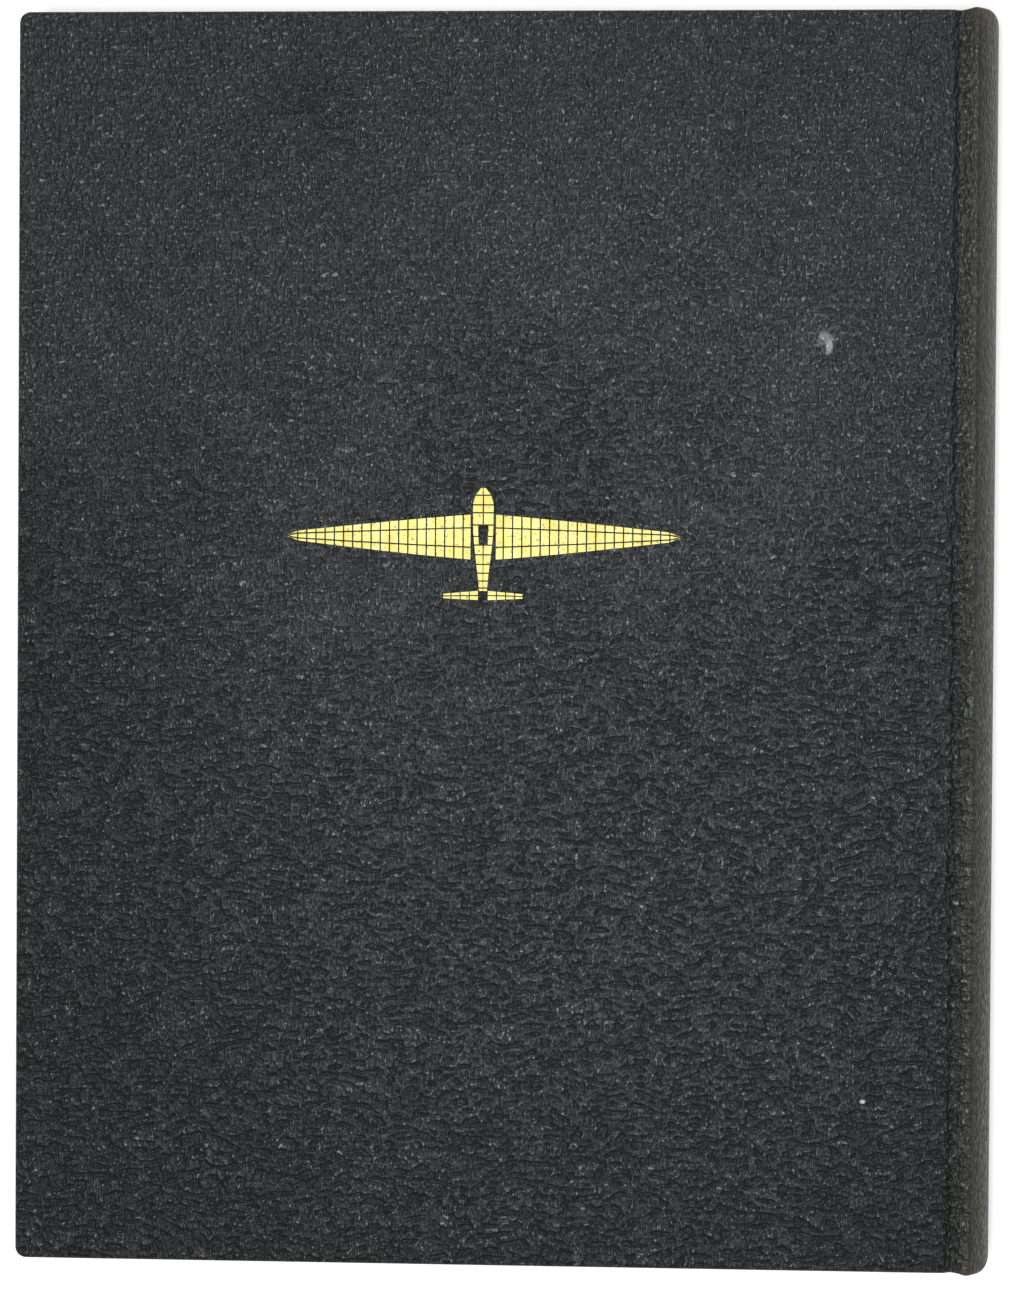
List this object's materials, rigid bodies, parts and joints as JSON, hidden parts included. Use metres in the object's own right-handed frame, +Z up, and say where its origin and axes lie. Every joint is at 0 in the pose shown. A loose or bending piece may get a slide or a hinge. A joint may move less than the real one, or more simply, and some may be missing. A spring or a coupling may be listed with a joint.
{
  "type": "pilot logbook",
  "caption": "Sewn hardback logbook with black grained leatherette covers, rounded spine and a gold foil aircraft emblem; opens at the cover and at its centre fold.",
  "frame": {"origin": "centre of the closed book's underside, on the surface that it lies on", "axes": "+X from the fore-edge to the spine, +Y from tail to head, +Z up out of the upper cover"},
  "size_m": [0.2244, 0.2882, 0.0254],
  "materials": {
    "leatherette": "black pebble-grained leatherette, satin",
    "board": "grey-brown binder's board, matt",
    "endpaper": "plain cream endpaper, matt",
    "page": "cream ledger paper, matt",
    "thread": "waxed linen thread",
    "tape": "woven linen tape",
    "mull": "open-weave lining cloth",
    "kraft": "kraft lining paper and spine card",
    "endband": "striped woven endband",
    "foil": "pale gold stamping foil, satin"
  },
  "bodies": {
    "lower_half": {"lower_board": "board", "lower_cover_cloth": "leatherette", "lower_joint_cloth": "leatherette", "lower_pastedown": "endpaper", "lower_flyleaf": "endpaper", "section_1": "page", "sewing_thread_1": "thread", "tape_1": "tape", "tape_2": "tape", "tape_3": "tape", "mull": "mull", "spine_liner": "kraft", "head_band": "endband", "tail_band": "endband"},
    "second_section": {"section_2": "page", "sewing_thread_2": "thread"},
    "third_section": {"section_3": "page", "sewing_thread_3": "thread"},
    "fourth_section": {"section_4": "page", "sewing_thread_4": "thread"},
    "centre_lower": {"centre_section_lower": "page", "sewing_thread_5": "thread"},
    "centre_upper": {"centre_section_upper": "page"},
    "sixth_section": {"section_6": "page", "sewing_thread_6": "thread"},
    "seventh_section": {"section_7": "page", "sewing_thread_7": "thread"},
    "eighth_section": {"section_8": "page", "sewing_thread_8": "thread"},
    "last_section": {"section_9": "page", "sewing_thread_9": "thread", "upper_flyleaf": "endpaper"},
    "upper_cover": {"upper_board": "board", "upper_cover_cloth": "leatherette", "upper_joint_cloth": "leatherette", "upper_pastedown": "endpaper", "foil_emblem": "foil"},
    "spine": {"spine_inlay": "kraft", "spine_cloth": "leatherette"}
  },
  "joints": [
    {"name": "second_section_shift", "type": "slide", "parent": "lower_half", "child": "second_section", "axis": [1, 0, 0], "range_m": [0, 0.00118]},
    {"name": "third_section_shift", "type": "slide", "parent": "second_section", "child": "third_section", "axis": [1, 0, 0], "range_m": [0, 0.00118]},
    {"name": "fourth_section_shift", "type": "slide", "parent": "third_section", "child": "fourth_section", "axis": [1, 0, 0], "range_m": [0, 0.00118]},
    {"name": "centre_lower_shift", "type": "slide", "parent": "fourth_section", "child": "centre_lower", "axis": [1, 0, 0], "range_m": [0, 0.00118]},
    {"name": "book_fold", "type": "hinge", "parent": "centre_lower", "child": "centre_upper", "pos_m": [0.10948, 0, 0.01269], "axis": [0, -1, 0], "range_deg": [-180, 0], "deforming": ["mull", "spine_liner", "tape_1", "tape_2", "tape_3", "head_band", "tail_band"]},
    {"name": "sixth_section_shift", "type": "slide", "parent": "centre_upper", "child": "sixth_section", "axis": [-1, 0, 0], "range_m": [0, 0.00118]},
    {"name": "seventh_section_shift", "type": "slide", "parent": "sixth_section", "child": "seventh_section", "axis": [-1, 0, 0], "range_m": [0, 0.00118]},
    {"name": "eighth_section_shift", "type": "slide", "parent": "seventh_section", "child": "eighth_section", "axis": [-1, 0, 0], "range_m": [0, 0.00118]},
    {"name": "last_section_shift", "type": "slide", "parent": "eighth_section", "child": "last_section", "axis": [-1, 0, 0], "range_m": [0, 0.00118]},
    {"name": "upper_cover_hinge", "type": "hinge", "parent": "last_section", "child": "upper_cover", "pos_m": [0.10307, 0, 0.02554], "axis": [0, 1, 0], "range_deg": [0, 180], "deforming": ["upper_joint_cloth"]},
    {"name": "spine_fold", "type": "hinge", "parent": "lower_half", "child": "spine", "pos_m": [0.10307, 0, 0.0016], "axis": [0, -1, 0], "range_deg": [-90, 0], "deforming": ["spine_inlay", "spine_cloth", "lower_joint_cloth"]}
  ],
  "couplings": [
    {"joint": "second_section_shift", "follows": "book_fold", "m_per_rad": -0.00037362},
    {"joint": "third_section_shift", "follows": "book_fold", "m_per_rad": -0.00037362},
    {"joint": "fourth_section_shift", "follows": "book_fold", "m_per_rad": -0.00037362},
    {"joint": "centre_lower_shift", "follows": "book_fold", "m_per_rad": -0.00037362},
    {"joint": "sixth_section_shift", "follows": "book_fold", "m_per_rad": -0.00037362},
    {"joint": "seventh_section_shift", "follows": "book_fold", "m_per_rad": -0.00037362},
    {"joint": "eighth_section_shift", "follows": "book_fold", "m_per_rad": -0.00037362},
    {"joint": "last_section_shift", "follows": "book_fold", "m_per_rad": -0.00037362},
    {"joint": "spine_fold", "follows": "book_fold", "ratio": 0.5}
  ]
}
